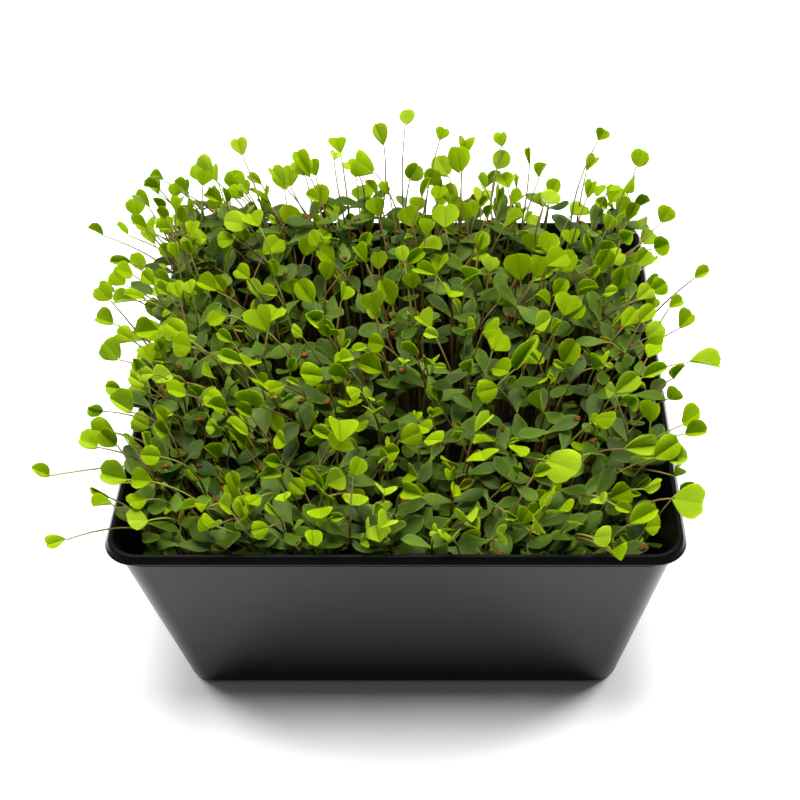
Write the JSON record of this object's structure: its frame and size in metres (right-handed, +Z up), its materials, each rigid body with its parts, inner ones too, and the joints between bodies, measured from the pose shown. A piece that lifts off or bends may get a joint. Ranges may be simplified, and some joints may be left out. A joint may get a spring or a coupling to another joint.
{
  "type": "microgreens tray",
  "caption": "Square black plastic tray with sloping sides and a rolled rim, filled with growing medium and a dense stand of small-leaved seedlings.",
  "frame": {"origin": "middle of the tray's flat underside", "axes": "+Z up out of the tray, -Y towards the front of the picture, +X to the right"},
  "size_m": [0.1745, 0.149, 0.1021],
  "materials": {
    "tray_plastic": "satin",
    "growing_medium": "matte",
    "seedlings": "satin"
  },
  "bodies": {
    "root": {"tray": "tray_plastic", "growing_medium": "growing_medium", "tuft_01": "seedlings", "tuft_02": "seedlings", "tuft_03": "seedlings", "tuft_04": "seedlings", "tuft_05": "seedlings", "tuft_06": "seedlings", "tuft_07": "seedlings", "tuft_08": "seedlings", "tuft_09": "seedlings", "tuft_10": "seedlings", "tuft_11": "seedlings", "tuft_12": "seedlings", "tuft_13": "seedlings", "tuft_14": "seedlings", "tuft_15": "seedlings", "tuft_16": "seedlings", "tuft_17": "seedlings", "tuft_18": "seedlings", "tuft_19": "seedlings", "tuft_20": "seedlings", "tuft_21": "seedlings", "tuft_22": "seedlings", "tuft_23": "seedlings", "tuft_24": "seedlings", "tuft_25": "seedlings", "tuft_26": "seedlings", "tuft_27": "seedlings", "tuft_28": "seedlings", "tuft_29": "seedlings", "tuft_30": "seedlings", "tuft_31": "seedlings", "tuft_32": "seedlings", "tuft_33": "seedlings", "tuft_34": "seedlings", "tuft_35": "seedlings", "tuft_36": "seedlings", "tuft_37": "seedlings", "tuft_38": "seedlings", "tuft_39": "seedlings", "tuft_40": "seedlings", "tuft_41": "seedlings", "tuft_42": "seedlings", "tuft_43": "seedlings", "tuft_44": "seedlings", "tuft_45": "seedlings", "tuft_46": "seedlings", "tuft_47": "seedlings", "tuft_48": "seedlings", "tuft_49": "seedlings"}
  },
  "joints": []
}
